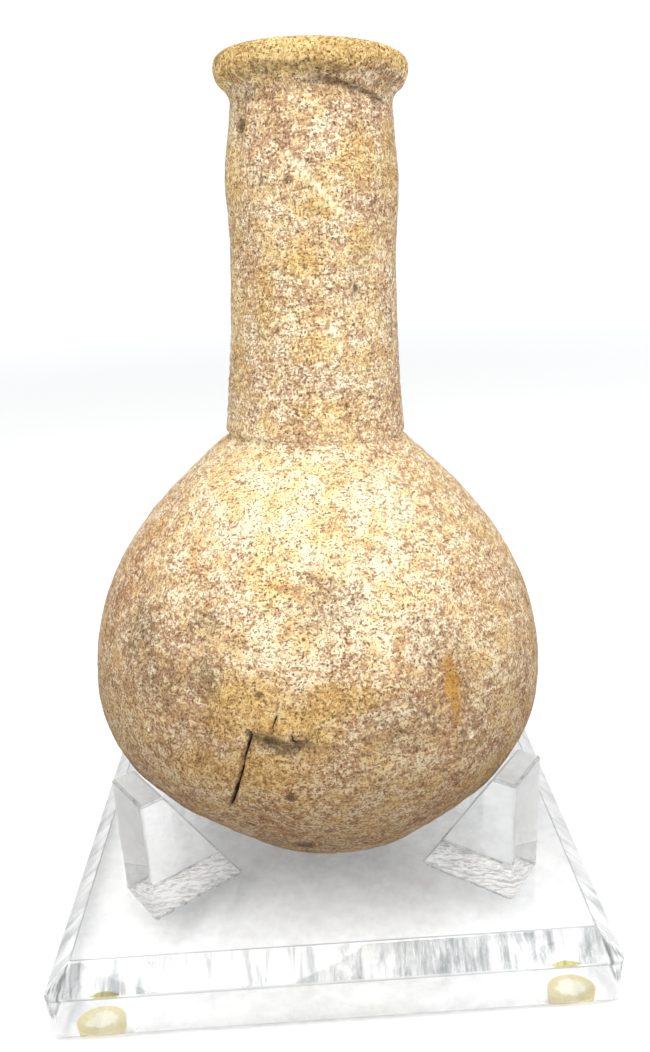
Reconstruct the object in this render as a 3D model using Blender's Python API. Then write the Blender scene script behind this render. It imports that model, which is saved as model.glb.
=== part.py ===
"""A round-bottomed pottery perfume flask, held upright on its clear acrylic display stand.

Run it with: blender --background --python part.py, or from Blender's text editor.
Lengths are in metres, +Z is up, and the origin is on the table under the middle of the stand.
"""
import math

import bmesh
import bpy
from mathutils import Matrix, Vector

MM = 0.001

# The gap left wherever one piece rests on another or is glued to it
seat_gap = 0.3 * MM

# The stand's plate, a clear square with a wide bevel all round its top
plate_side = 101.6 * MM
plate_upright = 8.4 * MM
plate_bevel = 4.3 * MM
plate_corner = 2.0 * MM
plate_corner_steps = 4

# The four round bumper feet under the plate
foot_radius = 4.4 * MM
foot_flat = 2.8 * MM
foot_lift = 2.0 * MM
foot_inset_x = 8.4 * MM
foot_inset_y = 5.8 * MM
foot_sides = 24

# The four clear wedges, each an upright block with a narrow flat top and its slope towards the flask
wedge_rise = 24.7 * MM
wedge_leg = 19.3 * MM
wedge_land = 4.5 * MM
wedge_width = 11.3 * MM
wedge_softening = 0.35 * MM
wedge_azimuth = math.radians(37.0)

# How the flask stands: over this point of the plate, this far clear of it, and leaning
flask_x = -1.4 * MM
flask_y = -9.4 * MM
flask_clear = 0.8 * MM
lean_back = math.radians(3.7)
lean_right = math.radians(2.0)

# The flask's outside, as heights above its underside and radii from its axis
flask_height = 146.0 * MM
keel_height = 10.6 * MM
keel_radius = 28.2 * MM
keel_slope = math.radians(42.0)
belly_height = 35.0 * MM
belly_radius = 43.7 * MM
joint_height = 81.6 * MM
joint_radius = 17.3 * MM
groove_depth = 0.75 * MM
groove_width = 1.4 * MM

# The neck's bends and its lip, as drops below the flask's top and radii from its axis
waist_drop = 32.0 * MM
waist_radius = 15.0 * MM
swell_drop = 21.0 * MM
swell_radius = 15.4 * MM
throat_drop = 8.8 * MM
throat_radius = 14.4 * MM
lip_drop = 2.0 * MM
lip_radius = 16.8 * MM
lip_round = 2.0 * MM

# How full the outside's bends are, each as a share of its bend's own radius or rise
underside_pull = 0.55
keel_pull = 0.32
belly_pull = 0.5
shoulder_pull = 0.46
collar_spread = 0.3
collar_drop = 0.28
neck_pull = 0.3
swell_pull = 0.4
flare_start = 0.42
flare_end = 0.62
crown_rise = 0.6
crown_turn = 0.4

# The flask's walls and inside
floor_thickness = 7.0 * MM
belly_wall = 5.0 * MM
shoulder_wall = 5.5 * MM
hollow_lift = 1.0 * MM
bore_radius = 10.2 * MM
mouth_radius = 12.2 * MM
mouth_depth = 7.0 * MM

# How full the inside's bends are, as shares of the mouth's depth and of the hollow's reach and rise
brim_share = 0.25
mouth_taper_start = 0.6
mouth_taper_end = 0.7
hollow_spread = 0.186
hollow_pull = 0.42

# The underside sagged sideways while the clay was wet
sag_shift = 3.4 * MM
sag_azimuth = math.radians(-30.0)
sag_height = 26.0 * MM
sag_power = 1.5
flask_sides = 60

# Edges sharper than these stay crisp
flask_crease = math.radians(35.0)
foot_crease = math.radians(40.0)
merge_distance = 0.001 * MM

plate_bottom = foot_lift
plate_top = plate_bottom + plate_upright + plate_bevel
waist_height = flask_height - waist_drop
swell_height = flask_height - swell_drop
throat_height = flask_height - throat_drop
lip_height = flask_height - lip_drop


def clear_scene():
    for thing in list(bpy.data.objects):
        bpy.data.objects.remove(thing, do_unlink=True)


def make_material(name, colour, roughness, alpha=1.0, ior=1.45):
    material = bpy.data.materials.new(name)
    material.use_nodes = True
    shader = material.node_tree.nodes["Principled BSDF"]
    shader.inputs["Base Color"].default_value = (*colour, 1.0)
    shader.inputs["Roughness"].default_value = roughness
    shader.inputs["Metallic"].default_value = 0.0
    shader.inputs["Alpha"].default_value = alpha
    shader.inputs["IOR"].default_value = ior
    return material


def add_object(name, builder, material, crease=None):
    """Turn a bmesh into a named object with its faces pointing out."""
    bmesh.ops.recalc_face_normals(builder, faces=builder.faces)
    mesh = bpy.data.meshes.new(name)
    builder.to_mesh(mesh)
    builder.free()
    mesh.materials.append(material)
    if crease is not None:
        mesh.shade_smooth()
        mesh.set_sharp_from_angle(angle=crease)
    thing = bpy.data.objects.new(name, mesh)
    bpy.context.scene.collection.objects.link(thing)
    return thing


def curve(start, start_pull, end_pull, end, steps):
    """Points of a smooth bend from start to end, drawn to two pull points, without its start."""
    corners = (start, start_pull, end_pull, end)
    points = []
    for step in range(1, steps + 1):
        t = step / steps
        weights = ((1 - t) ** 3, 3 * (1 - t) ** 2 * t, 3 * (1 - t) * t * t, t ** 3)
        radius = sum(weight * corner[0] for weight, corner in zip(weights, corners))
        height = sum(weight * corner[1] for weight, corner in zip(weights, corners))
        points.append((radius, height))
    return points


def flask_outside():
    """The outer profile as (radius, height), from the underside up to the top of the lip."""
    pole = (0.0, 0.0)
    keel = (keel_radius, keel_height)
    keel_run = keel_pull * keel_radius * math.cos(keel_slope)
    keel_climb = keel_pull * keel_radius * math.sin(keel_slope)
    profile = [pole]
    profile += curve(pole, (underside_pull * keel_radius, 0.0),
                     (keel_radius - keel_run, keel_height - keel_climb), keel, steps=7)

    belly = (belly_radius, belly_height)
    belly_rise = belly_height - keel_height
    profile += curve(keel, (keel_radius + keel_run, keel_height + keel_climb),
                     (belly_radius, belly_height - belly_pull * belly_rise), belly, steps=6)

    joint = (joint_radius, joint_height - groove_width / 2)
    shoulder_rise = joint_height - belly_height
    collar = (joint_radius + collar_spread * shoulder_rise, joint_height - collar_drop * shoulder_rise)
    profile += curve(belly, (belly_radius, belly_height + shoulder_pull * shoulder_rise),
                     collar, joint, steps=11)

    neck_foot = (joint_radius - groove_depth / 2, joint_height + groove_width / 2)
    profile += [(joint_radius - groove_depth, joint_height), neck_foot]
    waist = (waist_radius, waist_height)
    neck_rise = waist_height - joint_height
    taper = ((neck_foot[0] + waist_radius) / 2, joint_height + neck_pull * neck_rise)
    profile += curve(neck_foot, taper, (waist_radius, waist_height - neck_pull * neck_rise), waist, steps=4)

    swell = (swell_radius, swell_height)
    swell_rise = swell_height - waist_height
    profile += curve(waist, (waist_radius, waist_height + swell_pull * swell_rise),
                     (swell_radius, swell_height - swell_pull * swell_rise), swell, steps=3)

    throat = (throat_radius, throat_height)
    throat_rise = throat_height - swell_height
    profile += curve(swell, (swell_radius, swell_height + swell_pull * throat_rise),
                     (throat_radius, throat_height - neck_pull * throat_rise), throat, steps=3)

    lip = (lip_radius, lip_height)
    flare = lip_height - throat_height
    profile += curve(throat, (throat_radius, throat_height + flare_start * flare),
                     (lip_radius, lip_height - flare_end * flare), lip, steps=5)

    crown = (lip_radius - lip_round, flask_height)
    profile += curve(lip, (lip_radius, lip_height + crown_rise * (flask_height - lip_height)),
                     (lip_radius - crown_turn * lip_round, flask_height), crown, steps=3)
    return profile


def flask_inside():
    """The inner profile as (radius, height), from the top of the lip down to the hollow's floor."""
    crown = (lip_radius - lip_round, flask_height)
    brim = (mouth_radius, flask_height - brim_share * mouth_depth)
    profile = curve(crown, (mouth_radius + crown_turn * lip_round, flask_height),
                    (mouth_radius, flask_height), brim, steps=2)

    bore_top = (bore_radius, flask_height - mouth_depth)
    profile += curve(brim, (mouth_radius, flask_height - mouth_taper_start * mouth_depth),
                     (bore_radius, flask_height - mouth_taper_end * mouth_depth), bore_top, steps=3)

    bore_foot = (bore_radius, joint_height)
    profile += [(bore_radius, (bore_foot[1] + bore_top[1]) / 2), bore_foot]

    widest = (belly_radius - belly_wall, belly_height + hollow_lift)
    hollow_rise = joint_height - widest[1]
    hollow_reach = widest[0] - bore_radius
    profile += curve(bore_foot, (bore_radius + hollow_spread * hollow_reach, joint_height - shoulder_wall),
                     (widest[0], widest[1] + hollow_pull * hollow_rise), widest, steps=8)

    drop = widest[1] - floor_thickness
    profile += curve(widest, (widest[0], widest[1] - belly_pull * drop),
                     (underside_pull * widest[0], floor_thickness), (0.0, floor_thickness), steps=8)
    return profile


def sag(height):
    """How far the clay's underside slipped sideways, most at the very bottom."""
    return sag_shift * max(0.0, 1.0 - height / sag_height) ** sag_power


def make_flask(material):
    """One hollow turned body: the profile runs up the outside, over the lip and down inside."""
    builder = bmesh.new()
    corners = []
    for radius, height in flask_outside() + flask_inside():
        corners.append(builder.verts.new((radius, 0.0, height)))
    for lower, upper in zip(corners, corners[1:]):
        builder.edges.new((lower, upper))
    bmesh.ops.spin(builder, geom=list(builder.verts) + list(builder.edges), cent=(0, 0, 0),
                   axis=(0, 0, 1), angle=2 * math.pi, steps=flask_sides, use_merge=True)
    bmesh.ops.remove_doubles(builder, verts=builder.verts, dist=merge_distance)
    for corner in builder.verts:
        slip = sag(corner.co.z)
        corner.co.x += slip * math.cos(sag_azimuth)
        corner.co.y += slip * math.sin(sag_azimuth)
    flask = add_object("flask", builder, material, flask_crease)
    flask.location = (flask_x, flask_y, plate_top + flask_clear)
    flask.rotation_euler = (-lean_back, lean_right, 0.0)
    bpy.context.view_layer.update()
    return flask


def square_outline(half, corner):
    """A square with rounded corners, as points that run round from the front right."""
    points = []
    for turn in range(4):
        centre = Vector(((half - corner) * (1 if turn in (0, 1) else -1),
                         (half - corner) * (1 if turn in (1, 2) else -1)))
        for step in range(plate_corner_steps + 1):
            angle = math.pi / 2 * (turn - 1 + step / plate_corner_steps)
            points.append(centre + corner * Vector((math.cos(angle), math.sin(angle))))
    return points


def make_plate(material):
    """The square plate: an upright edge, then a bevel that ends in sharp corners at the top."""
    half = plate_side / 2
    outline = square_outline(half, plate_corner)
    count = len(outline)
    builder = bmesh.new()
    lower = [builder.verts.new((point.x, point.y, plate_bottom)) for point in outline]
    upper = [builder.verts.new((point.x, point.y, plate_bottom + plate_upright)) for point in outline]
    builder.faces.new(lower)
    for index in range(count):
        after = (index + 1) % count
        builder.faces.new((lower[index], lower[after], upper[after], upper[index]))
    inner = half - plate_bevel
    signs = ((1, -1), (1, 1), (-1, 1), (-1, -1))
    top = [builder.verts.new((inner * across, inner * depth, plate_top)) for across, depth in signs]
    for turn in range(4):
        first = turn * (plate_corner_steps + 1)
        for step in range(plate_corner_steps):
            builder.faces.new((upper[first + step], upper[first + step + 1], top[turn]))
        last = first + plate_corner_steps
        builder.faces.new((upper[last], upper[(last + 1) % count], top[(turn + 1) % 4], top[turn]))
    builder.faces.new(top)
    return add_object("stand_plate", builder, material)


def make_foot(name, x, y, material):
    """A low domed pad with a flat underside, stuck under the plate."""
    top = foot_lift - seat_gap
    rim = (foot_radius, top)
    profile = [(foot_flat, 0.0)]
    profile += curve(profile[0], ((foot_flat + foot_radius) / 2, 0.0), (foot_radius, top / 2), rim, steps=4)
    builder = bmesh.new()
    rings = []
    for radius, height in profile:
        ring = []
        for side in range(foot_sides):
            angle = 2 * math.pi * side / foot_sides
            ring.append(builder.verts.new((radius * math.cos(angle), radius * math.sin(angle), height)))
        rings.append(ring)
    for below, above in zip(rings, rings[1:]):
        for side in range(foot_sides):
            after = (side + 1) % foot_sides
            builder.faces.new((below[side], below[after], above[after], above[side]))
    builder.faces.new(rings[0])
    builder.faces.new(rings[-1])
    foot = add_object(name, builder, material, foot_crease)
    foot.location = (x, y, 0.0)
    return foot


def wedge_toe(flask, centre, inward):
    """How far from centre the slope's toe stands, so that the slope meets the flask's side."""
    base = plate_top + seat_gap
    run = wedge_leg - wedge_land
    lean = run / wedge_rise
    sideways = Vector((-inward.y, inward.x))
    band = wedge_width / 2 + 2 * math.pi * belly_radius / flask_sides
    reach = 0.0
    for corner in flask.data.vertices:
        point = flask.matrix_world @ corner.co
        offset = Vector((point.x, point.y)) - centre
        height = point.z - base
        if abs(offset.dot(sideways)) < band and 0.0 <= height <= wedge_rise:
            reach = max(reach, -offset.dot(inward) - lean * height)
    return reach + seat_gap * math.hypot(run, wedge_rise) / wedge_rise


def make_wedge(name, azimuth, flask, centre, material):
    """A block on the plate with an upright outer face and a slope that faces the flask."""
    half = wedge_width / 2
    outline = ((0.0, 0.0), (wedge_leg, 0.0), (wedge_leg, wedge_rise), (wedge_leg - wedge_land, wedge_rise))
    count = len(outline)
    builder = bmesh.new()
    near = [builder.verts.new((along, -half, up)) for along, up in outline]
    far = [builder.verts.new((along, half, up)) for along, up in outline]
    builder.faces.new(near)
    builder.faces.new(far)
    for index in range(count):
        after = (index + 1) % count
        builder.faces.new((near[index], near[after], far[after], far[index]))
    wedge = add_object(name, builder, material)
    outward = Vector((math.cos(azimuth), math.sin(azimuth)))
    spot = centre + outward * wedge_toe(flask, centre, -outward)
    place = Matrix.Translation((spot.x, spot.y, plate_top + seat_gap))
    wedge.matrix_world = place @ Matrix.Rotation(azimuth, 4, "Z")
    softening = wedge.modifiers.new("softened edges", "BEVEL")
    softening.width = wedge_softening
    softening.segments = 1
    return wedge


def flask_centre():
    """Where the flask's axis passes at the height of its belly, seen from above."""
    across = flask_x + belly_height * math.sin(lean_right)
    depth = flask_y + belly_height * math.sin(lean_back)
    return Vector((across, depth))


def main():
    clear_scene()
    clay = make_material("buff_clay", (0.60, 0.43, 0.25), 0.9)
    acrylic = make_material("clear_acrylic", (0.93, 0.96, 0.96), 0.05, 0.3, 1.49)
    bumper = make_material("yellowed_bumper", (0.80, 0.74, 0.48), 0.35, 0.8)
    flask = make_flask(clay)
    make_plate(acrylic)
    centre = flask_centre()
    foot_x = plate_side / 2 - foot_inset_x
    foot_y = plate_side / 2 - foot_inset_y
    for depth, row in ((-1, "front"), (1, "back")):
        for across, column in ((-1, "left"), (1, "right")):
            azimuth = math.atan2(depth * math.sin(wedge_azimuth), across * math.cos(wedge_azimuth))
            make_wedge(f"wedge_{row}_{column}", azimuth, flask, centre, acrylic)
            make_foot(f"foot_{row}_{column}", across * foot_x, depth * foot_y, bumper)


main()
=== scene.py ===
"""The looks of a round-bottomed pottery perfume flask on its clear acrylic stand."""
import math

import bmesh
import bpy
import numpy as np
from mathutils import Euler, Matrix, Vector, noise


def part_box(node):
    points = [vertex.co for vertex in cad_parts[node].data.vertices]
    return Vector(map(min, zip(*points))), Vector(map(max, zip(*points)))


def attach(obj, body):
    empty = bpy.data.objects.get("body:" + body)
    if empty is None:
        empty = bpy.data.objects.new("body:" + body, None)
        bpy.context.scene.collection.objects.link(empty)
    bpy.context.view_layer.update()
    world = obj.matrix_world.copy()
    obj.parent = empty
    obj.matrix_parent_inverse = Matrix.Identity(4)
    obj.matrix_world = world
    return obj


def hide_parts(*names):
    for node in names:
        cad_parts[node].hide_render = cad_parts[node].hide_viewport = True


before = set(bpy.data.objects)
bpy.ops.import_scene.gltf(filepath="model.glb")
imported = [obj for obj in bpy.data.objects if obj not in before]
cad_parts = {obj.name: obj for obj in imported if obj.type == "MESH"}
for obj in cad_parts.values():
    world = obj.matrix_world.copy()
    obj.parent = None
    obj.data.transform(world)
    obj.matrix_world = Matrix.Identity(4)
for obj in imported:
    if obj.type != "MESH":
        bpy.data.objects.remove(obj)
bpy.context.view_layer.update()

MM = 0.001

# The camera, as the corners of the stand's plate place it in the photograph
photo_width = 650
photo_height = 1052
focal_pixels = 900.0
principal_x = 340.0
camera_place = Vector((0.14, -171.75, 135.86)) * MM
camera_forward = Vector((0.029, 0.944, -0.3287))
camera_up = Vector((0.0527, 0.3269, 0.9436))

# The room's brightness as it is seen and as it lights matt surfaces, and the lamps' power in watts
room_shown = 1.05
room_light = 0.54
key_power = 9.4
fill_power = 3.0

# The acrylic bends light less than the real 1.49, so that light trapped in it doesn't end black
acrylic_index = 1.2
plate_softening = 0.3 * MM
wedge_softening = 0.15 * MM

# The plate's underside, its top and its feet in millimetres out from the middle, and how the flask stands
plate_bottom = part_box("stand_plate")[0].z
plate_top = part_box("stand_plate")[1].z
foot_out_x = 42.4
foot_out_y = 45.0
flask_x = -1.4 * MM
flask_y = -9.4 * MM
flask_clear = 0.8 * MM
lean_back = math.radians(3.7)
lean_right = math.radians(2.0)

# The flask's profile in millimetres, the same as the solid's
flask_height = 146.0
keel_height = 10.6
keel_radius = 28.2
keel_slope = math.radians(42.0)
belly_height = 35.0
belly_radius = 43.7
joint_height = 81.6
joint_radius = 17.3
groove_depth = 0.75
groove_width = 1.4
waist_height = 114.0
waist_radius = 15.0
swell_height = 125.0
swell_radius = 15.4
throat_height = 137.2
throat_radius = 14.4
lip_height = 144.0
lip_radius = 16.8
lip_round = 2.0
floor_thickness = 7.0
belly_wall = 5.0
shoulder_wall = 5.5
bore_radius = 10.2
mouth_radius = 12.2
mouth_depth = 7.0
sag_shift = 3.4
sag_azimuth = math.radians(-30.0)
sag_height = 26.0

# How fine the flask's surface is: the usual spacing, and closer ones at the joint, the lip and the crack
skin_spacing = 0.95
joint_spacing = 0.4
lip_spacing = 0.45
crack_spacing = 0.27
crack_low = 23.0
crack_high = 46.0
crack_left = -25.0
crack_right = -4.5
inside_rows = 28

# Cracks, each as (height, degrees right of the front) from one end to the other
crack_paths = (
    ((41.0, -16.3), (40.4, -15.7), (39.6, -15.9), (37.9, -16.6), (36.5, -17.2), (34.4, -17.6), (31.8, -18.7),
     (29.2, -19.9), (26.7, -21.4), (25.8, -22.1)),
    ((36.0, -17.2), (36.3, -16.2), (36.9, -15.8), (37.5, -15.5)),
    ((43.9, -10.0), (42.5, -10.8), (41.7, -10.9), (40.9, -10.7)),
    ((40.9, -6.9), (39.9, -6.6), (39.7, -5.6)),
)
crack_widths = (0.24, 0.11, 0.14, 0.14)
crack_depths = (1.6, 0.5, 0.6, 0.4)
channel_path = ((40.4, -15.7), (39.9, -14.8), (40.5, -13.2), (38.8, -11.1), (37.9, -9.6), (38.8, -8.0),
                (38.5, -6.5))
channel_width = 0.75
channel_depth = 0.45

# Patches of colour, among them painted highlight and painted shade, each as height, degrees right of the
# front, reach up, reach across and strength
# Yellow slip; the entry at 134.6 mm, 50 degrees left, is a painted highlight on the gouge's lit edge
slip_and_highlight_patches = (
    (46.0, -16.0, 4.0, 8.0, 0.9), (42.5, -21.0, 5.0, 5.0, 0.8), (42.0, -7.0, 4.5, 9.0, 1.0),
    (46.4, 3.0, 3.0, 7.0, 0.9), (34.8, -12.6, 5.0, 9.0, 0.8), (33.0, -26.0, 5.0, 7.0, 0.6),
    (29.0, -5.0, 2.5, 6.0, 0.4), (25.7, 45.0, 4.0, 7.0, 0.7), (128.6, 30.0, 4.0, 5.0, 0.8),
    (112.5, -9.0, 3.5, 4.0, 0.9), (106.0, -34.0, 7.0, 3.0, 0.8), (115.6, 30.7, 3.0, 4.0, 0.7),
    (97.9, -3.7, 3.5, 4.5, 0.7), (87.9, 2.0, 2.2, 6.0, 0.7), (128.0, 60.0, 8.0, 4.0, 0.6),
    (125.0, -62.0, 10.0, 3.0, 0.7), (96.0, -60.0, 8.0, 3.0, 0.5), (63.0, -14.0, 4.0, 5.0, 0.5),
    (120.5, 2.0, 2.2, 4.5, 0.8), (134.6, -50.0, 2.6, 1.5, 1.0), (123.5, -1.0, 2.6, 4.0, 0.5),
)
orange_patches = (
    (66.5, -78.0, 7.0, 12.0, 0.9), (61.0, -67.0, 9.0, 9.0, 0.9), (64.4, -40.0, 6.0, 7.0, 0.7),
    (51.3, -75.0, 9.0, 9.0, 0.8), (76.0, -36.0, 4.0, 7.0, 0.5), (29.7, -7.6, 2.0, 2.5, 0.6),
    (78.0, 28.0, 4.0, 6.0, 0.4),
)
smudges = (
    (51.7, -49.0, 5.0, 5.0, 0.9), (46.0, -40.0, 5.0, 6.0, 0.6), (56.1, -29.0, 3.0, 4.0, 0.8),
    (48.1, -27.0, 3.5, 3.5, 0.8), (51.6, 28.0, 6.0, 7.0, 0.5), (42.0, 44.0, 6.0, 8.0, 0.2),
    (40.5, 18.0, 5.0, 10.0, 0.6), (36.0, 34.0, 3.5, 4.0, 0.6), (39.0, -8.5, 1.8, 5.5, 1.0),
    (61.0, 1.0, 4.5, 7.0, 0.5), (30.0, 12.0, 5.0, 12.0, 0.3), (110.0, 30.0, 6.0, 3.0, 0.4),
)
rust_streak = ((49.0, 29.0, 2.2, 1.6, 0.8), (46.0, 29.4, 3.0, 1.7, 1.0), (43.0, 30.0, 2.6, 1.3, 0.9),
               (40.2, 30.3, 2.0, 0.9, 0.7))
cream_flecks = (
    (122.0, -27.6, 0.7, 0.5, 0.9), (118.6, -28.4, 0.8, 0.5, 0.9), (120.3, 16.4, 0.7, 0.6, 0.9),
    (113.3, 54.7, 0.7, 0.6, 0.8), (101.2, 11.0, 0.9, 0.7, 0.9), (98.2, 15.3, 0.8, 0.6, 0.9),
    (53.6, 6.5, 0.6, 0.5, 0.9), (54.4, 15.6, 0.6, 0.6, 0.8), (36.2, 34.4, 0.7, 0.4, 0.9),
    (62.0, 12.0, 0.8, 0.7, 0.8), (70.0, -24.0, 0.9, 1.0, 0.7),
)
cream_path = ((128.9, -16.0), (126.0, -4.9), (122.5, 7.0), (119.5, 19.7))
cream_width = 0.5
# Pale crust patches; those on the shoulder and the front also paint a highlight where the light falls
# strongest
crust_and_highlight_patches = (
    (72.0, -18.0, 10.0, 18.0, 1.0), (64.0, 8.0, 12.0, 18.0, 0.9), (73.0, 22.0, 8.0, 13.0, 0.8),
    (56.0, -14.0, 9.0, 12.0, 0.6), (76.0, -48.0, 7.0, 9.0, 0.7), (54.0, 22.0, 7.0, 12.0, 0.5),
    (100.0, 8.0, 14.0, 7.0, 0.2), (122.0, -8.0, 10.0, 7.0, 0.2), (69.0, 160.0, 13.0, 24.0, 0.8),
    (62.0, 105.0, 10.0, 20.0, 0.6), (58.0, -130.0, 11.0, 18.0, 0.6), (110.0, 170.0, 18.0, 9.0, 0.4),
)
# Painted shade under the lip's overhang and its fold, and in the gouge on the neck
under_lip_shade = (
    (134.2, -58.0, 2.8, 1.1, 1.0), (141.0, -48.0, 1.3, 5.0, 0.7), (141.4, -28.0, 1.5, 5.0, 0.9),
    (141.2, -8.0, 1.2, 4.5, 0.9), (138.4, -44.0, 1.0, 2.2, 0.7), (140.9, 10.0, 1.1, 6.0, 0.8),
    (140.6, 55.0, 1.6, 4.0, 0.5), (141.0, 150.0, 1.3, 7.0, 0.6),
)
# Dark pinholes; the last entry is painted shade in the gouge on the neck
pinhole_and_gouge_shades = (
    (100.9, -24.9, 0.5, 0.5, 1.0), (115.8, 20.6, 0.5, 0.5, 1.0), (108.1, 26.6, 0.9, 0.5, 1.0),
    (124.6, -15.0, 0.5, 1.5, 1.0), (116.9, -15.1, 0.4, 1.1, 0.9), (124.8, -32.8, 0.5, 0.5, 0.9),
    (14.4, -7.8, 1.3, 1.8, 0.9), (29.7, -7.6, 0.8, 0.9, 0.9), (47.0, -14.0, 0.6, 0.8, 0.9),
    (39.4, -5.0, 0.8, 1.3, 0.9), (39.7, -11.0, 0.7, 1.6, 0.9), (133.8, -57.0, 2.0, 0.9, 0.55),
)

# The fuller front of the underside, the gouge on the neck, the tight throat and the fold under the lip
swell_turn = 4.0
swell_reach = 5.0
swell_depth = 0.65
gouge_height = 135.0
gouge_turn = -55.0
gouge_rise = 3.4
gouge_reach = 1.6
gouge_depth = 1.2
throat_pinch = 0.8
throat_pinch_height = 139.7
throat_pinch_reach = 1.9
fold_height = 139.4
fold_left = -12.0
fold_right = 66.0
fold_depth = 0.45
fold_width = 0.38
fold_drop = 1.8


def smooth_step(low, high, value):
    share = np.clip((value - low) / (high - low), 0.0, 1.0)
    return share * share * (3.0 - 2.0 * share)


def curve(start, start_pull, end_pull, end, steps):
    """Points of a smooth bend from start to end, drawn to two pull points, without its start."""
    corners = (start, start_pull, end_pull, end)
    points = []
    for step in range(1, steps + 1):
        t = step / steps
        weights = ((1 - t) ** 3, 3 * (1 - t) ** 2 * t, 3 * (1 - t) * t * t, t ** 3)
        radius = sum(weight * corner[0] for weight, corner in zip(weights, corners))
        height = sum(weight * corner[1] for weight, corner in zip(weights, corners))
        points.append((radius, height))
    return points


def flask_outside():
    """The outer profile as (radius, height), from the underside up to the top of the lip."""
    pole = (0.0, 0.0)
    keel = (keel_radius, keel_height)
    keel_run = 0.32 * keel_radius * math.cos(keel_slope)
    keel_climb = 0.32 * keel_radius * math.sin(keel_slope)
    profile = [pole]
    profile += curve(pole, (0.55 * keel_radius, 0.0),
                     (keel_radius - keel_run, keel_height - keel_climb), keel, 40)
    belly = (belly_radius, belly_height)
    profile += curve(keel, (keel_radius + keel_run, keel_height + keel_climb),
                     (belly_radius, belly_height - 0.5 * (belly_height - keel_height)), belly, 40)
    joint = (joint_radius, joint_height - groove_width / 2)
    rise = joint_height - belly_height
    profile += curve(belly, (belly_radius, belly_height + 0.46 * rise),
                     (joint_radius + 0.3 * rise, joint_height - 0.28 * rise), joint, 80)
    neck_foot = (joint_radius - groove_depth / 2, joint_height + groove_width / 2)
    profile += [(joint_radius - groove_depth, joint_height), neck_foot]
    waist = (waist_radius, waist_height)
    rise = waist_height - joint_height
    profile += curve(neck_foot, ((neck_foot[0] + waist_radius) / 2, joint_height + 0.3 * rise),
                     (waist_radius, waist_height - 0.3 * rise), waist, 40)
    swell = (swell_radius, swell_height)
    rise = swell_height - waist_height
    profile += curve(waist, (waist_radius, waist_height + 0.4 * rise),
                     (swell_radius, swell_height - 0.4 * rise), swell, 16)
    throat = (throat_radius, throat_height)
    rise = throat_height - swell_height
    profile += curve(swell, (swell_radius, swell_height + 0.4 * rise),
                     (throat_radius, throat_height - 0.3 * rise), throat, 16)
    lip = (lip_radius, lip_height)
    rise = lip_height - throat_height
    profile += curve(throat, (throat_radius, throat_height + 0.42 * rise),
                     (lip_radius, lip_height - 0.62 * rise), lip, 16)
    crown = (lip_radius - lip_round, flask_height)
    profile += curve(lip, (lip_radius, lip_height + 0.6 * (flask_height - lip_height)),
                     (lip_radius - 0.4 * lip_round, flask_height), crown, 10)
    return np.array(profile)


def flask_inside():
    """The inner profile as (radius, height), from the top of the lip down to the hollow's floor."""
    crown = (lip_radius - lip_round, flask_height)
    brim = (mouth_radius, flask_height - 0.25 * mouth_depth)
    profile = [crown]
    profile += curve(crown, (mouth_radius + 0.4 * lip_round, flask_height),
                     (mouth_radius, flask_height), brim, 8)
    bore_top = (bore_radius, flask_height - mouth_depth)
    profile += curve(brim, (mouth_radius, flask_height - 0.6 * mouth_depth),
                     (bore_radius, flask_height - 0.7 * mouth_depth), bore_top, 8)
    bore_foot = (bore_radius, joint_height)
    profile.append(bore_foot)
    widest = (belly_radius - belly_wall, belly_height + 1.0)
    rise = joint_height - widest[1]
    shoulder = (bore_radius + 0.186 * (widest[0] - bore_radius), joint_height - shoulder_wall)
    profile += curve(bore_foot, shoulder, (widest[0], widest[1] + 0.42 * rise), widest, 20)
    drop = widest[1] - floor_thickness
    profile += curve(widest, (widest[0], widest[1] - 0.5 * drop),
                     (0.55 * widest[0], floor_thickness), (0.0, floor_thickness), 20)
    return np.array(profile)


def spread_points(profile, spacing_at):
    """Points along a profile whose spacing follows a rule of the height."""
    steps = np.hypot(*np.diff(profile, axis=0).T)
    along = np.concatenate(([0.0], np.cumsum(steps)))
    fine = np.linspace(0.0, along[-1], 6000)
    heights = np.interp(fine, along, profile[:, 1])
    density = 1.0 / spacing_at(heights)
    count = np.concatenate(([0.0], np.cumsum((density[1:] + density[:-1]) / 2 * np.diff(fine))))
    total = int(round(count[-1]))
    places = np.interp(np.linspace(0.0, count[-1], total + 1), count, fine)
    return np.column_stack((np.interp(places, along, profile[:, 0]), np.interp(places, along, profile[:, 1])))


def row_spacing(heights):
    """Closer rows round the crack, the neck's joint and the lip."""
    spacing = np.full_like(heights, skin_spacing)
    near_crack = smooth_step(crack_low - 3.0, crack_low, heights)
    near_crack = near_crack * smooth_step(crack_high + 3.0, crack_high, heights)
    spacing += (crack_spacing * 1.25 - skin_spacing) * near_crack
    near_joint = smooth_step(3.0, 1.0, np.abs(heights - joint_height))
    spacing += (joint_spacing - skin_spacing) * near_joint
    near_lip = smooth_step(fold_height - 3.0, fold_height - 1.0, heights)
    spacing += (lip_spacing - skin_spacing) * near_lip
    return spacing


def column_turns():
    """The turns of the flask's columns, in degrees right of the front, closer across the crack."""
    usual = math.degrees(skin_spacing / belly_radius)
    close = math.degrees(crack_spacing / belly_radius)
    turns = list(np.arange(crack_left, crack_right, close))
    rest = 360.0 - (crack_right - crack_left)
    count = int(rest / usual)
    turns += [crack_right + rest * index / count for index in range(count)]
    return np.array(turns)


def turn_gap(turns, middle):
    return (turns - middle + 180.0) % 360.0 - 180.0


def sample_noise(points, scale, seed=0.0):
    """Smooth noise from -1 to 1 at each point, with bumps about scale millimetres across."""
    values = np.empty(len(points))
    shift = Vector((seed * 17.3, seed * 9.1, seed * 5.7))
    for index, point in enumerate(points):
        values[index] = noise.noise(Vector(point) / scale + shift)
    return values


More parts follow.
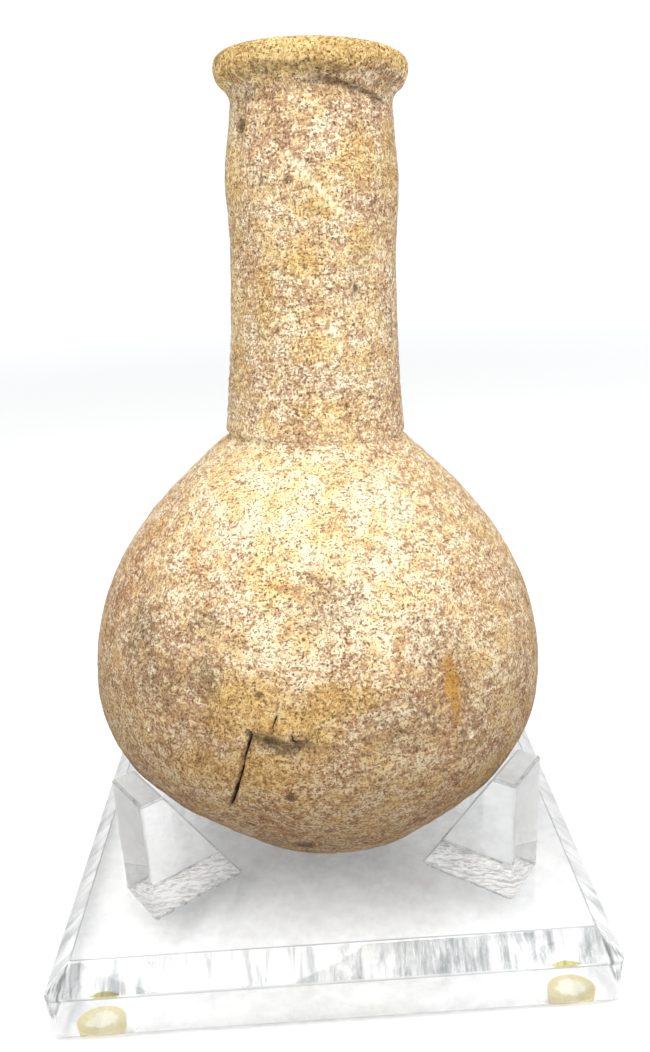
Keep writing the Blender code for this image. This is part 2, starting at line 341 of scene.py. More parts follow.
def patches_mask(heights, turns, radii, patches, ragged):
    """How strongly each point belongs to a list of soft-edged patches."""
    mask = np.zeros(len(heights))
    for height, turn, reach_up, reach_across, strength in patches:
        up = (heights - height) / reach_up
        across = np.radians(turn_gap(turns, turn)) * radii / reach_across
        near = np.hypot(up, across) + ragged
        mask = np.maximum(mask, strength * smooth_step(1.25, 0.45, near))
    return mask


def distance_to_path(heights, turns, radii, path):
    """Distance in millimetres to a path, the share along it, the side it is on and how far past its ends."""
    nearest = np.full(len(heights), 1e3)
    share = np.zeros(len(heights))
    side = np.zeros(len(heights))
    past = np.zeros(len(heights))
    for index, (start, end) in enumerate(zip(path, path[1:])):
        start_across = np.radians(turn_gap(turns, start[1])) * radii
        end_across = np.radians(turn_gap(turns, end[1])) * radii
        run_across = start_across - end_across
        run_up = end[0] - start[0]
        point_up = heights - start[0]
        length = run_across ** 2 + run_up ** 2
        reach = (start_across * run_across + point_up * run_up) / length
        t = np.clip(reach, 0.0, 1.0)
        gap = np.hypot(start_across - t * run_across, point_up - t * run_up)
        closer = gap < nearest
        nearest = np.where(closer, gap, nearest)
        share = np.where(closer, (index + t) / (len(path) - 1), share)
        side = np.where(closer, np.sign(start_across * run_up - point_up * run_across) * gap, side)
        past = np.where(closer, np.abs(reach - t) * np.sqrt(length), past)
    ended = (share <= 0.0) | (share >= 1.0)
    return nearest, share, side, np.where(ended, past, 0.0)


def crack_mask(heights, turns, radii, points):
    """The cracks' depth, side and half-width in millimetres, and the damp channel from 0 to 1."""
    waver = sample_noise(points, 1.6, 3.0) * 0.3
    nodes = 0.75 + 0.9 * smooth_step(0.0, 0.5, sample_noise(points, 2.4, 12.0))
    gap = distance_to_path(heights + waver, turns, radii, channel_path)[0]
    channel = smooth_step(1.6, 0.3, gap / channel_width)
    depth = channel_depth * channel
    side = np.zeros(len(heights))
    half = np.zeros(len(heights))
    for path, width, deepest in zip(crack_paths, crack_widths, crack_depths):
        gap, share, across, past = distance_to_path(heights + waver, turns, radii, path)
        taper = np.clip(np.minimum(share, 1.0 - share) * 4.0 + 0.4, 0.0, 1.0)
        depth = np.maximum(depth, deepest * taper * smooth_step(0.42, 0.08, gap))
        own = width * taper * nodes * smooth_step(1.3, 0.8, gap) * smooth_step(0.5, 0.1, past)
        side = np.where(own > half, across, side)
        half = np.maximum(half, own)
    return depth, side, half, channel


def flask_relief(heights, turns, radii, points):
    """How far each point of the outside stands in or out, in millimetres, apart from the cracks."""
    relief = 0.13 * sample_noise(points, 30.0, 1.0)
    relief += 0.11 * sample_noise(points, 8.0, 2.0)
    relief += 0.09 * sample_noise(points, 2.6, 4.0)
    relief += 0.07 * sample_noise(points, 1.3, 5.0)

    # Throwing lines low on the neck and scraped lines round the base
    drift = 0.8 * sample_noise(points, 14.0, 6.0)
    neck_lines = smooth_step(83.5, 86.0, heights) * smooth_step(99.0, 93.0, heights)
    relief += 0.07 * neck_lines * np.sin((heights + drift) * 2.0 * math.pi / 1.9)
    base_lines = smooth_step(8.0, 13.0, heights) * smooth_step(30.0, 20.0, heights)
    stretched = points * np.array((0.16, 0.16, 1.0))
    relief += 0.24 * base_lines * sample_noise(stretched, 1.5, 7.0)

    # The joint between neck and body closes and opens round the neck
    joint = smooth_step(1.3, 0.1, np.abs(heights - joint_height - 0.5 * drift))
    opened = 0.4 - turn_gap(turns, 0.0) / 60.0 + 0.8 * sample_noise(points, 9.0, 8.0)
    relief -= 0.35 * joint * np.clip(opened, 0.0, 1.0)

    # A tight throat under the lip, and a fuller underside at the front, away from the wedges
    relief -= throat_pinch * np.exp(-((heights - throat_pinch_height) / throat_pinch_reach) ** 2)
    turned = turn_gap(turns, swell_turn)
    at_keel = np.exp(-((heights - keel_height) / swell_reach) ** 2)
    keel_swell = at_keel * smooth_step(42.0, 18.0, np.abs(turned))
    relief += swell_depth * keel_swell

    # The gouge and the fold under the lip
    up = (heights - gouge_height - 0.3 * turn_gap(turns, gouge_turn) * 0.25) / gouge_rise
    across = np.radians(turn_gap(turns, gouge_turn)) * radii / gouge_reach
    relief -= gouge_depth * smooth_step(1.2, 0.1, np.hypot(up, across))
    fold_line = fold_height + 0.5 * drift - fold_drop * smooth_step(fold_left + 20.0, fold_right, turns)
    fold = smooth_step(fold_width * 1.8, 0.0, np.abs(heights - fold_line))
    faded_left = smooth_step(fold_left, fold_left + 20.0, turns)
    faded_right = smooth_step(fold_right, fold_right - 14.0, turns)
    fold *= faded_left * faded_right
    relief -= fold_depth * fold
    return relief, fold


def flask_matrix():
    turn = Euler((-lean_back, lean_right, 0.0)).to_matrix().to_4x4()
    return Matrix.Translation((flask_x, flask_y, plate_top + flask_clear)) @ turn


def make_flask(material):
    """The flask's whole skin, outside and in, with its wheel marks, gouge, lumps and cracks."""
    outer = spread_points(flask_outside(), row_spacing)
    inner_profile = flask_inside()
    inner_length = np.hypot(*np.diff(inner_profile, axis=0).T).sum()
    inner = spread_points(inner_profile, lambda heights: np.full_like(heights, inner_length / inside_rows))
    turns = column_turns()
    count = len(turns)
    angles = np.radians(turns - 90.0)

    # Rings from just above the underside's pole to just before the hollow's floor
    profile = np.vstack((outer[1:], inner[1:-1]))
    outer_rows = len(outer) - 1
    tangent = np.gradient(profile, axis=0)
    tangent /= np.hypot(tangent[:, 0], tangent[:, 1])[:, None]
    radii = np.repeat(profile[:, 0], count)
    heights = np.repeat(profile[:, 1], count)
    turned = np.tile(turns, len(profile))
    swing = np.tile(angles, len(profile))
    outward = np.repeat(tangent[:, 1], count)
    upward = np.repeat(-tangent[:, 0], count)
    points = np.column_stack((radii * np.cos(swing), radii * np.sin(swing), heights))

    skin = slice(0, outer_rows * count)
    stand_out = np.zeros(len(points))
    wrapped = turn_gap(turned, 0.0)
    outside = (heights[skin], wrapped[skin], radii[skin], points[skin])
    relief, fold = flask_relief(*outside)
    crack_depth, crack_side, crack_half, channel = crack_mask(*outside)
    settle = smooth_step(flask_height, flask_height - 1.5, heights[skin])
    near_pole = smooth_step(0.0, 6.0, radii[skin])
    stand_out[skin] = (relief * settle - 0.1) * near_pole - crack_depth
    inside = slice(outer_rows * count, None)
    stand_out[inside] = 0.12 * sample_noise(points[inside], 6.0, 11.0)
    stand_out[inside] *= smooth_step(flask_height, flask_height - 3.0, heights[inside])

    slip = sag_shift * np.clip(1.0 - heights / sag_height, 0.0, None) ** 1.5
    reach = radii + stand_out * outward
    place = np.column_stack((reach * np.cos(swing) + slip * math.cos(sag_azimuth),
                             reach * np.sin(swing) + slip * math.sin(sag_azimuth),
                             heights + stand_out * upward))
    pole = (sag_shift * math.cos(sag_azimuth), sag_shift * math.sin(sag_azimuth), 0.0)
    floor_middle = (0.0, 0.0, floor_thickness)
    matrix = flask_matrix()
    local = [pole] + place.tolist() + [floor_middle]
    vertices = [matrix @ (Vector(point) * MM) for point in local]

    faces = []
    for side in range(count):
        faces.append((0, 1 + (side + 1) % count, 1 + side))
    for row in range(len(profile) - 1):
        first = 1 + row * count
        for side in range(count):
            after = (side + 1) % count
            faces.append((first + side, first + after, first + count + after, first + count + side))
    last = 1 + (len(profile) - 1) * count
    for side in range(count):
        faces.append((last + side, last + (side + 1) % count, len(local) - 1))

    mesh = bpy.data.meshes.new("flask_skin")
    mesh.from_pydata(vertices, [], faces)
    mesh.shade_smooth()
    mesh.materials.append(material)

    ragged = 0.35 * sample_noise(points, 5.0, 9.0) + 0.25 * sample_noise(points, 1.8, 10.0)
    masks = {
        "slip": patches_mask(heights, wrapped, radii, slip_and_highlight_patches, ragged),
        "orange": patches_mask(heights, wrapped, radii, orange_patches, ragged),
        "smudge_and_shade": patches_mask(heights, wrapped, radii, smudges, ragged),
        "rust": patches_mask(heights, wrapped, radii, rust_streak, 0.6 * ragged),
        "cream": patches_mask(heights, wrapped, radii, cream_flecks, 0.6 * ragged),
        "crust_and_highlight": patches_mask(heights, wrapped, radii, crust_and_highlight_patches, ragged),
        "pinhole_and_gouge_shade": patches_mask(heights, wrapped, radii, pinhole_and_gouge_shades, 0.5 * ragged),
        "height": heights / flask_height,
    }
    gap = distance_to_path(heights, wrapped, radii, cream_path)[0]
    streak = smooth_step(1.5, 0.2, gap / cream_width + ragged)
    masks["cream"] = np.maximum(masks["cream"], 0.6 * streak)
    # The smudges carry painted shade under the lip and in the gouge as well
    masks["smudge_and_shade"] = np.maximum(masks["smudge_and_shade"], patches_mask(heights, wrapped, radii, under_lip_shade, ragged))
    rim_drop = 2.2 * smooth_step(12.0, 40.0, wrapped) * smooth_step(110.0, 80.0, wrapped)
    masks["rim"] = smooth_step(fold_height - 0.5, fold_height + 2.0, heights - rim_drop + 1.2 * ragged)
    for name, values in (("fold", fold), ("crack_side", crack_side), ("crack_half", crack_half),
                         ("channel", channel)):
        masks[name] = np.zeros(len(points))
        masks[name][skin] = values
    hollow = np.zeros(len(points))
    hollow[inside] = smooth_step(flask_height - 1.0, flask_height - 5.0, heights[inside])
    masks["hollow"] = hollow
    for name, values in masks.items():
        if name in ("slip", "orange", "smudge_and_shade", "rust", "cream", "crust_and_highlight", "pinhole_and_gouge_shade"):
            values[inside] = 0.0
        whole = np.concatenate((values[:1], values, values[-1:])).astype(np.float32)
        layer = mesh.attributes.new(name, "FLOAT", "POINT")
        layer.data.foreach_set("value", whole)

    flask = bpy.data.objects.new("flask_skin", mesh)
    bpy.context.scene.collection.objects.link(flask)
    return flask


class Shader:
    """A short way to write a material's nodes."""

    def __init__(self, name):
        self.material = bpy.data.materials.new(name)
        self.material.use_nodes = True
        self.tree = self.material.node_tree
        self.surface = self.tree.nodes["Principled BSDF"]

    def link(self, value, socket):
        if isinstance(value, bpy.types.NodeSocket):
            self.tree.links.new(value, socket)
        else:
            socket.default_value = value

    def millimetres(self, stretch=(1.0, 1.0, 1.0)):
        """The object's own coordinates in millimetres."""
        place = self.tree.nodes.new("ShaderNodeTexCoord")
        scale = self.tree.nodes.new("ShaderNodeMapping")
        scale.inputs["Scale"].default_value = [1000.0 * part for part in stretch]
        self.tree.links.new(place.outputs["Object"], scale.inputs["Vector"])
        return scale.outputs["Vector"]

    def attribute(self, name):
        node = self.tree.nodes.new("ShaderNodeAttribute")
        node.attribute_name = name
        return node.outputs["Fac"]

    def noise(self, vector, size, detail=3.0, roughness=0.6, distortion=0.0):
        """Noise with bumps about size millimetres across."""
        node = self.tree.nodes.new("ShaderNodeTexNoise")
        self.link(vector, node.inputs["Vector"])
        node.inputs["Scale"].default_value = 1.0 / size
        node.inputs["Detail"].default_value = detail
        node.inputs["Roughness"].default_value = roughness
        node.inputs["Distortion"].default_value = distortion
        return node.outputs["Fac"]

    def cells(self, vector, size):
        """Distance to scattered points about size millimetres apart, and each cell's random colour."""
        node = self.tree.nodes.new("ShaderNodeTexVoronoi")
        self.link(vector, node.inputs["Vector"])
        node.inputs["Scale"].default_value = 1.0 / size
        return node.outputs["Distance"], node.outputs["Color"]

    def between(self, value, low, high, bottom=0.0, top=1.0):
        """Value from low to high, smoothly as bottom to top."""
        node = self.tree.nodes.new("ShaderNodeMapRange")
        node.interpolation_type = "SMOOTHSTEP"
        self.link(value, node.inputs["Value"])
        for name, number in (("From Min", low), ("From Max", high), ("To Min", bottom), ("To Max", top)):
            self.link(number, node.inputs[name])
        return node.outputs["Result"]

    def sum(self, operation, first, second=0.5, third=0.5):
        node = self.tree.nodes.new("ShaderNodeMath")
        node.operation = operation
        for value, socket in zip((first, second, third), node.inputs):
            self.link(value, socket)
        return node.outputs["Value"]

    def mix(self, share, first, second, blend="MIX"):
        node = self.tree.nodes.new("ShaderNodeMix")
        node.data_type = "RGBA"
        node.blend_type = blend
        self.link(share, node.inputs["Factor"])
        self.link(first, node.inputs[6])
        self.link(second, node.inputs[7])
        return node.outputs[2]

    def bump(self, height, distance, strength=1.0, under=None):
        node = self.tree.nodes.new("ShaderNodeBump")
        node.inputs["Distance"].default_value = distance
        node.inputs["Strength"].default_value = strength
        self.link(height, node.inputs["Height"])
        if under is not None:
            self.link(under, node.inputs["Normal"])
        return node.outputs["Normal"]


def colour(red, green, blue):
    """A colour given as it looks on a screen, 0 to 255, as light values."""
    parts = []
    for part in (red, green, blue):
        share = part / 255.0
        parts.append(share / 12.92 if share <= 0.04045 else ((share + 0.055) / 1.055) ** 2.4)
    return (*parts, 1.0)


def clay_material():
    """Gritty, unglazed buff clay: a pale crust over pinkish clay, yellow slip in patches and dark grains,
    with a painted highlight on the lit shoulder and front, and painted shade low on the body, under the lip,
    in the fold and in the gouge.
    """
    shader = Shader("buff_clay")
    place = shader.millimetres()
    broad = shader.noise(place, 15.0, 2.0)
    middle = shader.noise(place, 4.2, 4.0, 0.65)
    small = shader.noise(place, 1.3, 3.0, 0.7)
    grain = shader.noise(place, 0.5, 3.0, 0.75)
    dots = shader.noise(place, 0.33, 1.0, 0.5, 0.5)
    tinge = shader.noise(shader.millimetres((1.0, 1.0, 1.3)), 5.5, 4.0, 0.7, 0.5)

    # The clay itself, pinker and browner by turns, yellow where the slip is left
    base = shader.mix(shader.between(broad, 0.38, 0.62), colour(184, 147, 112), colour(188, 153, 110))
    base = shader.mix(shader.between(middle, 0.42, 0.68, 0.0, 0.8), base, colour(170, 132, 100))
    base = shader.mix(shader.sum("MULTIPLY", shader.attribute("orange"), 0.6), base, colour(172, 118, 84))
    # Yellow slip, and a painted highlight on the gouge's lit edge
    slip = shader.sum("MULTIPLY", shader.attribute("slip"), shader.between(middle, 0.3, 0.5, 0.4, 1.0))
    slip = shader.sum("MAXIMUM", slip, shader.attribute("rim"))
    base = shader.mix(shader.sum("MULTIPLY", slip, 0.85), base, colour(190, 152, 90))

    # The pale crust lies on the grain's high spots; its patches also paint a highlight, thickest on the lit
    # shoulder and the front
    crust_and_highlight = shader.sum("MULTIPLY_ADD", shader.sum("SUBTRACT", small, 0.5), 0.6, grain)
    strokes = shader.noise(shader.millimetres((0.22, 0.22, 1.0)), 0.6, 3.0, 0.65)
    crust_and_highlight = shader.sum("MULTIPLY_ADD", shader.sum("SUBTRACT", strokes, 0.5), 0.4, crust_and_highlight)
    crust_and_highlight = shader.sum("MULTIPLY_ADD", shader.sum("SUBTRACT", middle, 0.5), -0.2, crust_and_highlight)
    crust_and_highlight = shader.sum("MULTIPLY_ADD", shader.sum("SUBTRACT", broad, 0.5), 0.2, crust_and_highlight)
    crust_and_highlight = shader.sum("MULTIPLY_ADD", shader.attribute("crust_and_highlight"), 0.10, crust_and_highlight)
    cover = shader.between(crust_and_highlight, 0.42, 0.63, 0.0, 0.95)
    pale = shader.mix(shader.between(tinge, 0.42, 0.62), colour(238, 226, 196), colour(230, 205, 152))
    pale = shader.mix(shader.between(tinge, 0.58, 0.74, 0.0, 0.7), pale, colour(212, 164, 110))
    pale = shader.mix(shader.sum("MULTIPLY", slip, 0.8), pale, colour(230, 199, 128))
    base = shader.mix(cover, base, pale)
    base = shader.mix(shader.between(crust_and_highlight, 0.27, 0.40, 0.75, 0.0), base, colour(104, 78, 56))

    # The lower body is darker and browner as painted shade, and the neck a little duller
    low = shader.between(shader.attribute("height"), 0.12, 0.5, 1.0, 0.0)
    base = shader.mix(low, base, (0.47, 0.42, 0.37, 1.0), "MULTIPLY")
    neck = shader.between(shader.attribute("height"), 0.54, 0.62)
    base = shader.mix(neck, base, (0.91, 0.92, 0.94, 1.0), "MULTIPLY")
    # Smudges of dirt, and painted shade under the lip and in the gouge
    smudge_and_shade = shader.sum("MULTIPLY", shader.attribute("smudge_and_shade"), shader.between(small, 0.62, 0.42, 0.15, 0.7))
    base = shader.mix(smudge_and_shade, base, colour(100, 82, 62))
    damp = shader.between(grain, 0.62, 0.38, 0.35, 0.9)
    channel = shader.sum("MULTIPLY", shader.attribute("channel"), damp)
    base = shader.mix(channel, base, colour(88, 78, 54))
    rust = shader.sum("MULTIPLY", shader.attribute("rust"), shader.between(grain, 0.3, 0.55, 0.5, 0.9))
    base = shader.mix(rust, base, colour(170, 124, 42))

    # Dark grains and pits, a few white grains, and single marks, with painted shade in the gouge and the fold
    pits = shader.between(dots, 0.575, 0.65)
    base = shader.mix(shader.sum("MULTIPLY", pits, 0.8), base, colour(78, 57, 40))
    fleck_gap, fleck_colour = shader.cells(place, 2.6)
    fleck_size = shader.between(fleck_colour, 0.72, 0.95, 0.0, 0.2)
    fleck = shader.between(fleck_gap, fleck_size, shader.sum("MULTIPLY", fleck_size, 0.6))
    base = shader.mix(shader.sum("MULTIPLY", fleck, 0.7), base, colour(250, 242, 222))
    cream = shader.sum("MULTIPLY", shader.attribute("cream"), shader.between(grain, 0.36, 0.52, 0.35, 0.95))
    base = shader.mix(cream, base, colour(248, 234, 200))
    # Pinholes, and painted shade in the gouge on the neck
    base = shader.mix(shader.sum("MULTIPLY", shader.attribute("pinhole_and_gouge_shade"), 0.85), base, colour(62, 40, 26))
    # Painted shade darkening the fold's crease under the lip
    base = shader.mix(shader.sum("MULTIPLY", shader.attribute("fold"), 0.75), base, colour(60, 42, 28))
    base = shader.mix(shader.sum("MULTIPLY", shader.attribute("hollow"), 0.6), base, colour(110, 80, 56))

    # The cracks are thin dark lines with frayed edges
    fraying = shader.sum("SUBTRACT", grain, 0.5)
    frayed = shader.sum("MULTIPLY_ADD", fraying, 0.35, shader.attribute("crack_side"))
    half = shader.attribute("crack_half")
    open_crack = shader.between(shader.sum("ABSOLUTE", frayed), half, shader.sum("MULTIPLY", half, 0.5))
    open_crack = shader.sum("MULTIPLY", open_crack, shader.sum("GREATER_THAN", half, 0.03))
    base = shader.mix(shader.sum("MULTIPLY", open_crack, 0.95), base, colour(34, 20, 12))
    shader.link(base, shader.surface.inputs["Base Color"])
    shader.link(shader.between(grain, 0.3, 0.7, 0.95, 0.85), shader.surface.inputs["Roughness"])
    shader.surface.inputs["Specular IOR Level"].default_value = 0.2

    relief = shader.sum("MULTIPLY_ADD", pits, -0.3, crust_and_highlight)
    lumps = shader.bump(middle, 0.5 * MM, 0.6)
    shader.link(shader.bump(relief, 0.32 * MM, 1.0, lumps), shader.surface.inputs["Normal"])
    return shader.material


def acrylic_material(name, bonded):
    """Clear polished acrylic, with painted grey streaks on bevels and sides and painted grey lines on its
    edges as painted dark reflections, whitened where it is bonded or rubbed.
    """
    shader = Shader(name)
    shader.surface.inputs["IOR"].default_value = acrylic_index
    shader.surface.inputs["Coat Weight"].default_value = 0.6
    shader.surface.inputs["Coat Roughness"].default_value = 0.02
    place = shader.millimetres()
    geometry = shader.tree.nodes.new("ShaderNodeNewGeometry")
    facing = shader.tree.nodes.new("ShaderNodeSeparateXYZ")
    shader.tree.links.new(geometry.outputs["Normal"], facing.inputs["Vector"])
    across, along, up = (shader.sum("ABSOLUTE", facing.outputs[axis]) for axis in "XYZ")

    # Painted dark reflections: grey streaks run down the bevels and the upright sides, so they change along
    # each side only
    sideways = shader.sum("GREATER_THAN", across, along)
    position = shader.tree.nodes.new("ShaderNodeSeparateXYZ")
    shader.tree.links.new(place, position.inputs["Vector"])
    run = shader.tree.nodes.new("ShaderNodeMix")
    shader.link(sideways, run.inputs["Factor"])
    shader.link(position.outputs["X"], run.inputs["A"])
    shader.link(position.outputs["Y"], run.inputs["B"])
    line = shader.tree.nodes.new("ShaderNodeCombineXYZ")
    shader.link(run.outputs["Result"], line.inputs["X"])
    shader.link(shader.sum("MULTIPLY", position.outputs["Z"], 0.25), line.inputs["Y"])
    streaks = shader.noise(line.outputs["Vector"], 3.6, 5.0, 0.75, 0.4)
    bevel = shader.sum("MULTIPLY", shader.between(up, 0.45, 0.6), shader.between(up, 0.93, 0.8))
    upright = shader.between(up, 0.3, 0.1)
    painted_shade_marks = shader.sum("MULTIPLY", bevel, shader.between(streaks, 0.40, 0.62, 0.03, 0.9))
    painted_upright_shade = shader.between(streaks, 0.5, 0.75, 0.01 if bonded else 0.05, 0.15 if bonded else 0.32)
    painted_shade_marks = shader.sum("MAXIMUM", painted_shade_marks, shader.sum("MULTIPLY", upright, painted_upright_shade))

    # Each softened edge is painted with a thin grey line, a painted dark reflection
    corner = shader.sum("MULTIPLY", shader.between(up, 0.1, 0.2), shader.between(up, 0.6, 0.45))
    painted_top_edge_line = shader.sum("MULTIPLY", shader.between(up, 0.8, 0.9), shader.between(up, 0.995, 0.97))
    corner = shader.sum("MAXIMUM", corner, painted_top_edge_line)
    painted_shade_marks = shader.sum("MAXIMUM", painted_shade_marks, shader.sum("MULTIPLY", corner, 0.7))
    # The painted dark reflections turn the clear colour grey
    tint = shader.mix(painted_shade_marks, (0.99, 0.995, 0.995, 1.0), colour(76, 84, 90))
    rough = shader.between(shader.noise(place, 9.0), 0.4, 0.75, 0.01, 0.05)
    if bonded:
        foot = shader.between(position.outputs["Z"], plate_top / MM + 0.6, plate_top / MM + 0.4)
        scratches = shader.noise(shader.millimetres((0.35, 1.0, 1.0)), 0.8, 4.0, 0.7, 0.8)
        white = shader.sum("MULTIPLY", foot, shader.between(scratches, 0.35, 0.6, 0.25, 0.9))
        clear = shader.sum("SUBTRACT", 1.0, white)
        rough = shader.sum("MAXIMUM", rough, shader.sum("MULTIPLY", foot, 0.45))
    else:
        rubbed = shader.between(shader.noise(place, 6.0, 4.0, 0.7), 0.3, 0.7, 0.30, 0.42)
        underside = shader.between(position.outputs["Z"], plate_bottom / MM + 0.4, plate_bottom / MM + 0.2)

        # Where the bumper feet are stuck on, the underside stays clear
        foot_gap_x = shader.sum("SUBTRACT", shader.sum("ABSOLUTE", position.outputs["X"]), foot_out_x)
        foot_gap_y = shader.sum("SUBTRACT", shader.sum("ABSOLUTE", position.outputs["Y"]), foot_out_y)
        foot_gap = shader.sum("MULTIPLY", foot_gap_x, foot_gap_x)
        foot_gap = shader.sum("SQRT", shader.sum("MULTIPLY_ADD", foot_gap_y, foot_gap_y, foot_gap))
        rubbed = shader.sum("MULTIPLY", rubbed, shader.between(foot_gap, 6.0, 9.0))
        clear = shader.sum("SUBTRACT", 1.0, shader.sum("MULTIPLY", underside, rubbed))
    shader.link(tint, shader.surface.inputs["Base Color"])
    shader.link(rough, shader.surface.inputs["Roughness"])
    shader.link(clear, shader.surface.inputs["Transmission Weight"])
    waviness = shader.sum("ADD", shader.noise(place, 14.0, 1.0), shader.sum("MULTIPLY", streaks, bevel))
    shader.link(shader.bump(waviness, 0.4 * MM, 0.3), shader.surface.inputs["Normal"])
    return shader.material


def glue_material():
    """The dried film under each wedge: clear but wrinkled."""
    shader = Shader("dried_glue")
    shader.surface.inputs["Base Color"].default_value = (0.96, 0.96, 0.95, 1.0)
    shader.surface.inputs["Transmission Weight"].default_value = 0.5
    shader.surface.inputs["IOR"].default_value = 1.45
    place = shader.millimetres()
    rough = shader.between(shader.noise(place, 1.2), 0.35, 0.65, 0.15, 0.5)
    shader.link(rough, shader.surface.inputs["Roughness"])
    wrinkles = shader.noise(place, 1.6, 4.0, 0.65, 1.2)
    shader.link(shader.bump(wrinkles, 0.8 * MM, 1.0), shader.surface.inputs["Normal"])
    return shader.material


def bumper_material():
    """Soft plastic gone yellow at its rim, whitish in the middle."""
    shader = Shader("yellowed_bumper")
    place = shader.tree.nodes.new("ShaderNodeTexCoord")
    middle = shader.tree.nodes.new("ShaderNodeVectorMath")
    middle.operation = "MULTIPLY_ADD"
    middle.inputs[1].default_value = (2.0, 2.0, 0.0)
    middle.inputs[2].default_value = (-1.0, -1.0, 0.0)
    shader.tree.links.new(place.outputs["Generated"], middle.inputs[0])
    reach = shader.tree.nodes.new("ShaderNodeVectorMath")
    reach.operation = "LENGTH"
    shader.tree.links.new(middle.outputs["Vector"], reach.inputs[0])
    mottle = shader.noise(shader.millimetres(), 1.1)
    edge = shader.sum("ADD", reach.outputs["Value"], shader.between(mottle, 0.3, 0.7, -0.12, 0.12))
    ring = shader.between(edge, 0.42, 0.7)
    tint = shader.mix(ring, colour(234, 230, 206), colour(204, 190, 116))
    shader.link(tint, shader.surface.inputs["Base Color"])
    shader.surface.inputs["Roughness"].default_value = 0.35
    shader.surface.inputs["Subsurface Weight"].default_value = 0.15
    shader.surface.inputs["Subsurface Radius"].default_value = (0.002, 0.0015, 0.0008)
    shader.link(shader.bump(mottle, 0.2 * MM, 0.4), shader.surface.inputs["Normal"])
    return shader.material


def floor_material():
    """A plain pale floor that goes on into the distance without a line at its end."""
    shader = Shader("floor")
    place = shader.tree.nodes.new("ShaderNodeTexCoord")
    reach = shader.tree.nodes.new("ShaderNodeVectorMath")
    reach.operation = "LENGTH"
    shader.tree.links.new(place.outputs["Object"], reach.inputs[0])
    glow = shader.between(reach.outputs["Value"], 0.3, 1.6, 0.1, 0.64)
    shader.link(glow, shader.surface.inputs["Emission Strength"])
    shader.surface.inputs["Emission Color"].default_value = (0.9, 0.95, 1.0, 1.0)
    shader.surface.inputs["Base Color"].default_value = (0.85, 0.85, 0.85, 1.0)
    shader.surface.inputs["Roughness"].default_value = 0.8
    shader.surface.inputs["Specular IOR Level"].default_value = 0.1
    return shader.material


def softened_copy(node, name, material, edge):
    """A piece with the node's shape and slightly softened edges, shown in its place."""
    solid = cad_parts[node].data
    source = bpy.data.meshes.new(name)
    corners = [corner.co for corner in solid.vertices]
    source.from_pydata(corners, [], [face.vertices[:] for face in solid.polygons])
    builder = bmesh.new()
    builder.from_mesh(source)
    bpy.data.meshes.remove(source)
    bmesh.ops.remove_doubles(builder, verts=builder.verts, dist=0.01 * MM)
    bmesh.ops.dissolve_limit(builder, angle_limit=math.radians(1.0), verts=builder.verts, edges=builder.edges)
    bmesh.ops.recalc_face_normals(builder, faces=builder.faces)
    mesh = bpy.data.meshes.new(name)
    builder.to_mesh(mesh)
    builder.free()
    mesh.materials.append(material)
    piece = bpy.data.objects.new(name, mesh)
    bpy.context.scene.collection.objects.link(piece)
    softening = piece.modifiers.new("softened edges", "BEVEL")
    softening.width = edge
    softening.segments = 2
    softening.limit_method = "ANGLE"
    softening.angle_limit = math.radians(20.0)
    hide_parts(node)
    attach(piece, "root")


def make_glue(wedge, material):
    """A ragged film of glue in the gap between a wedge's foot and the plate."""
    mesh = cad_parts[wedge].data
    lowest = min(corner.co.z for corner in mesh.vertices)
    foot = [corner.co.copy() for corner in mesh.vertices if corner.co.z < lowest + 0.8 * MM]
    middle = sum(foot, Vector()) / len(foot)
    outline = sorted(foot, key=lambda corner: math.atan2(corner.y - middle.y, corner.x - middle.x))
    builder = bmesh.new()
    rings = ((plate_top + 0.02 * MM, 0.99), (lowest - 0.02 * MM, 0.94))
    loops = []
    for height, share in rings:
        ring = []
        for start, end in zip(outline, outline[1:] + outline[:1]):
            for step in range(10):
                point = start.lerp(end, step / 10)
                waver = 1.0 - 0.05 * (0.5 + 0.5 * noise.noise(point * 900.0))
                spot = middle + (point - middle) * share * waver
                ring.append(builder.verts.new((spot.x, spot.y, height)))
        loops.append(ring)
    count = len(loops[0])
    for side in range(count):
        after = (side + 1) % count
        builder.faces.new((loops[0][side], loops[0][after], loops[1][after], loops[1][side]))
    builder.faces.new(loops[0])
    builder.faces.new(loops[1])
    bmesh.ops.recalc_face_normals(builder, faces=builder.faces)
    film = bpy.data.meshes.new("glue_" + wedge)
    builder.to_mesh(film)
    builder.free()
    film.materials.append(material)
    piece = bpy.data.objects.new("glue_" + wedge, film)
    bpy.context.scene.collection.objects.link(piece)
    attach(piece, "root")


def make_camera():
    view = bpy.data.cameras.new("camera")
    view.sensor_fit = "AUTO"
    view.lens = focal_pixels / photo_height * view.sensor_width
    view.shift_x = -(principal_x - photo_width / 2) / photo_height
    view.clip_start = 0.01
    view.clip_end = 50.0
    camera = bpy.data.objects.new("camera", view)
    bpy.context.scene.collection.objects.link(camera)
    back = -camera_forward.normalized()
    right = camera_up.cross(back).normalized()
    up = back.cross(right)
    turn = Matrix((right, up, back)).transposed().to_4x4()
    camera.matrix_world = Matrix.Translation(camera_place) @ turn
    bpy.context.scene.camera = camera


def make_light(name, place, target, size, power, tint):
    lamp = bpy.data.lights.new(name, "AREA")
    lamp.shape = "DISK"
    lamp.size = size
    lamp.energy = power
    lamp.color = tint
    light = bpy.data.objects.new(name, lamp)
    bpy.context.scene.collection.objects.link(light)
    light.location = place
    aim = Vector(target) - Vector(place)
    light.rotation_euler = aim.to_track_quat("-Z", "Y").to_euler()
    light.visible_camera = False


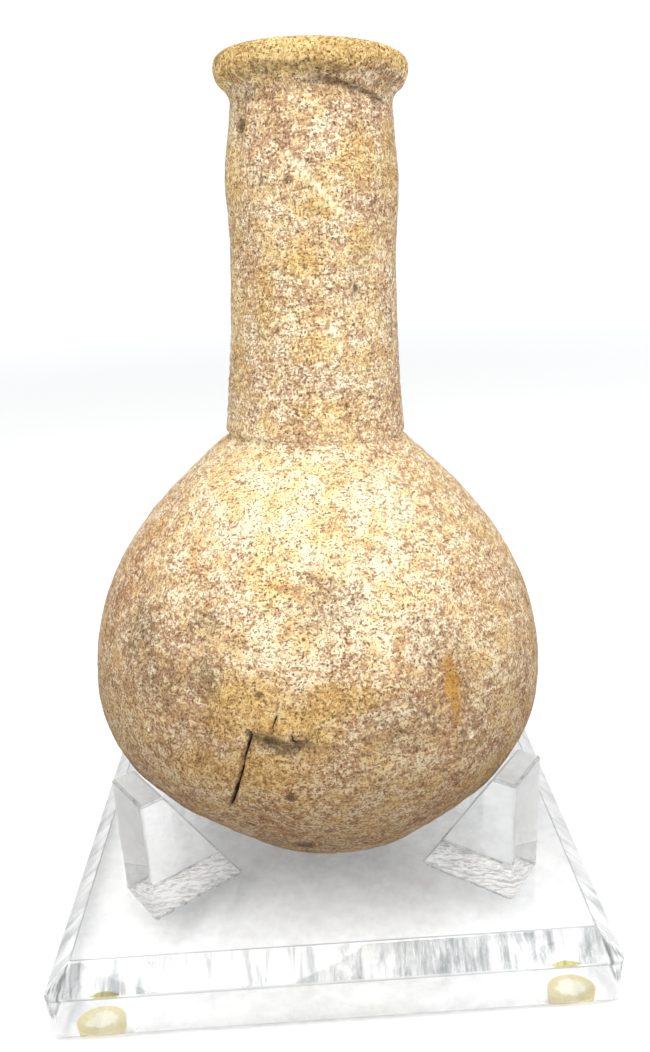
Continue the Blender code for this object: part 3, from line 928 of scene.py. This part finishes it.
def make_world():
    """A white room, which lights the object less than it shows."""
    world = bpy.data.worlds.new("pale_room")
    world.use_nodes = True
    bpy.context.scene.world = world
    tree = world.node_tree
    place = tree.nodes.new("ShaderNodeTexCoord")
    split = tree.nodes.new("ShaderNodeSeparateXYZ")
    tree.links.new(place.outputs["Generated"], split.inputs["Vector"])
    climb = tree.nodes.new("ShaderNodeMapRange")
    climb.interpolation_type = "SMOOTHSTEP"
    climb.inputs["From Min"].default_value = -0.1
    climb.inputs["From Max"].default_value = 0.08
    tree.links.new(split.outputs["Z"], climb.inputs["Value"])
    mix = tree.nodes.new("ShaderNodeMix")
    mix.data_type = "RGBA"
    mix.inputs[6].default_value = colour(246, 252, 255)
    mix.inputs[7].default_value = colour(255, 255, 255)
    tree.links.new(climb.outputs["Result"], mix.inputs["Factor"])
    tree.links.new(mix.outputs[2], tree.nodes["Background"].inputs["Color"])
    path = tree.nodes.new("ShaderNodeLightPath")
    strength = tree.nodes.new("ShaderNodeMapRange")
    strength.inputs["To Min"].default_value = room_shown
    strength.inputs["To Max"].default_value = room_light
    tree.links.new(path.outputs["Is Diffuse Ray"], strength.inputs["Value"])
    tree.links.new(strength.outputs["Result"], tree.nodes["Background"].inputs["Strength"])


def make_floor():
    builder = bmesh.new()
    bmesh.ops.create_circle(builder, cap_ends=True, segments=96, radius=8.0)
    mesh = bpy.data.meshes.new("floor")
    builder.to_mesh(mesh)
    builder.free()
    mesh.materials.append(floor_material())
    floor = bpy.data.objects.new("floor", mesh)
    floor.location = (0.0, 0.0, -0.05 * MM)
    bpy.context.scene.collection.objects.link(floor)


def main():
    make_camera()
    make_world()
    make_floor()
    make_light("key", (-0.12, -0.50, 0.85), (0.0, 0.0, 0.08), 0.6, key_power, (1.0, 0.99, 0.97))
    make_light("fill", (0.55, -0.30, 0.60), (0.0, 0.0, 0.07), 0.5, fill_power, (0.97, 0.985, 1.0))
    bpy.context.scene.view_settings.view_transform = "Standard"

    flask = make_flask(clay_material())
    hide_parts("flask")
    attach(flask, "root")

    acrylic = acrylic_material("clear_acrylic", False)
    bonded_acrylic = acrylic_material("bonded_acrylic", True)
    glue = glue_material()
    softened_copy("stand_plate", "plate_acrylic", acrylic, plate_softening)
    bumper = bumper_material()
    for row in ("front", "back"):
        for column in ("left", "right"):
            wedge = f"wedge_{row}_{column}"
            softened_copy(wedge, f"acrylic_{wedge}", bonded_acrylic, wedge_softening)
            make_glue(wedge, glue)
            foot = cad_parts[f"foot_{row}_{column}"]
            for material_slot in foot.material_slots:
                material_slot.material = bumper


main()
